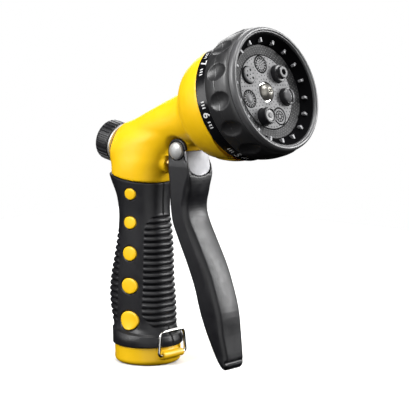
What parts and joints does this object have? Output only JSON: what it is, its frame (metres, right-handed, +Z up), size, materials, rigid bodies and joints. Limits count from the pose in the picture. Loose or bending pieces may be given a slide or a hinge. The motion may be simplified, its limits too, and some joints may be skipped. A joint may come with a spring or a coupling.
{
  "type": "hose spray nozzle",
  "caption": "Pistol-grip garden hose spray nozzle: metal body, rubber grip, front trigger with wire lock, rear flow knob and a rotating spray-pattern turret.",
  "frame": {"origin": "centre of the hose inlet's end face, at the bottom of the handle", "axes": "+Z up the handle along the inlet's axis, +X towards the spraying side, +Y to the object's left seen from behind"},
  "size_m": [0.1478, 0.0746, 0.2044],
  "materials": {
    "yellow_enamel": "gloss",
    "grip_rubber": "matt",
    "brass": "satin",
    "seal_rubber": "matt",
    "bright_steel": "polished",
    "satin_nickel": "satin",
    "black_plastic": "matt",
    "lever_black": "satin",
    "bare_zinc": "satin",
    "turret_black": "matt",
    "band_gloss": "gloss",
    "ring_grey": "satin",
    "plate_grey": "satin",
    "annulus_grey": "matt"
  },
  "bodies": {
    "body": {"body_casting": "yellow_enamel", "grip_sleeve": "grip_rubber", "base_collar": "yellow_enamel", "inlet_insert": "brass", "hose_washer": "seal_rubber", "trigger_rivet": "bright_steel", "gland_nut": "brass", "stem_o_ring_inner": "seal_rubber", "stem_o_ring_outer": "seal_rubber", "return_spring": "bright_steel", "rear_bonnet": "satin_nickel", "bonnet_o_ring": "seal_rubber", "distributor": "black_plastic", "distributor_o_ring": "seal_rubber", "port_seal": "seal_rubber", "port_spring": "bright_steel", "detent_spring": "bright_steel", "detent_ball": "bright_steel", "pivot_sleeve": "bright_steel", "turret_screw": "bright_steel", "screw_washer": "bright_steel"},
    "trigger": {"trigger_lever": "lever_black", "push_plate": "bare_zinc"},
    "stem": {"valve_stem": "brass", "valve_seal": "seal_rubber"},
    "turret": {"selector_disc": "black_plastic", "label_band": "band_gloss", "turret_shell": "turret_black", "front_ring": "ring_grey", "spray_annulus": "annulus_grey", "pattern_plate": "plate_grey", "outlet_1_shower": "plate_grey", "outlet_2_jet": "black_plastic", "outlet_3_flat": "black_plastic", "outlet_4_cone": "plate_grey", "outlet_5_mist": "black_plastic", "outlet_6_full": "plate_grey", "outlet_7_soaker": "plate_grey"},
    "spindle": {"flow_spindle": "brass"},
    "knob": {"flow_knob": "black_plastic", "knob_screw": "bright_steel"},
    "bail": {"lock_bail": "bright_steel"}
  },
  "joints": [
    {"name": "trigger_pull", "type": "hinge", "parent": "body", "child": "trigger", "pos_m": [0.0346, 0, 0.1322], "axis": [0, 1, 0], "range_deg": [0, 17.5], "stiffness_Nm_per_rad": 1.2, "springref_deg": -8.59},
    {"name": "stem_slide", "type": "slide", "parent": "body", "child": "stem", "axis": [-0.9781, 0, 0.2079], "range_m": [0, 0.004], "deforming": ["return_spring"]},
    {"name": "turret_spin", "type": "hinge", "parent": "body", "child": "turret", "pos_m": [0.1018, 0, 0.17], "axis": [0.9593, 0, 0.2823], "continuous": true},
    {"name": "spindle_slide", "type": "slide", "parent": "body", "child": "spindle", "axis": [-0.9781, 0, 0.2079], "range_m": [0, 0.0018]},
    {"name": "knob_turn", "type": "hinge", "parent": "spindle", "child": "knob", "pos_m": [-0.0222, 0, 0.1335], "axis": [-0.9781, 0, 0.2079], "range_deg": [0, 545]},
    {"name": "bail_swing", "type": "hinge", "parent": "body", "child": "bail", "pos_m": [0.0209, 0, 0.0066], "axis": [0, 1, 0], "range_deg": [0, 135]}
  ],
  "couplings": [
    {"joint": "stem_slide", "follows": "trigger_pull", "m_per_rad": 0.0128},
    {"joint": "knob_turn", "follows": "spindle_slide", "rad_per_m": 5236}
  ]
}
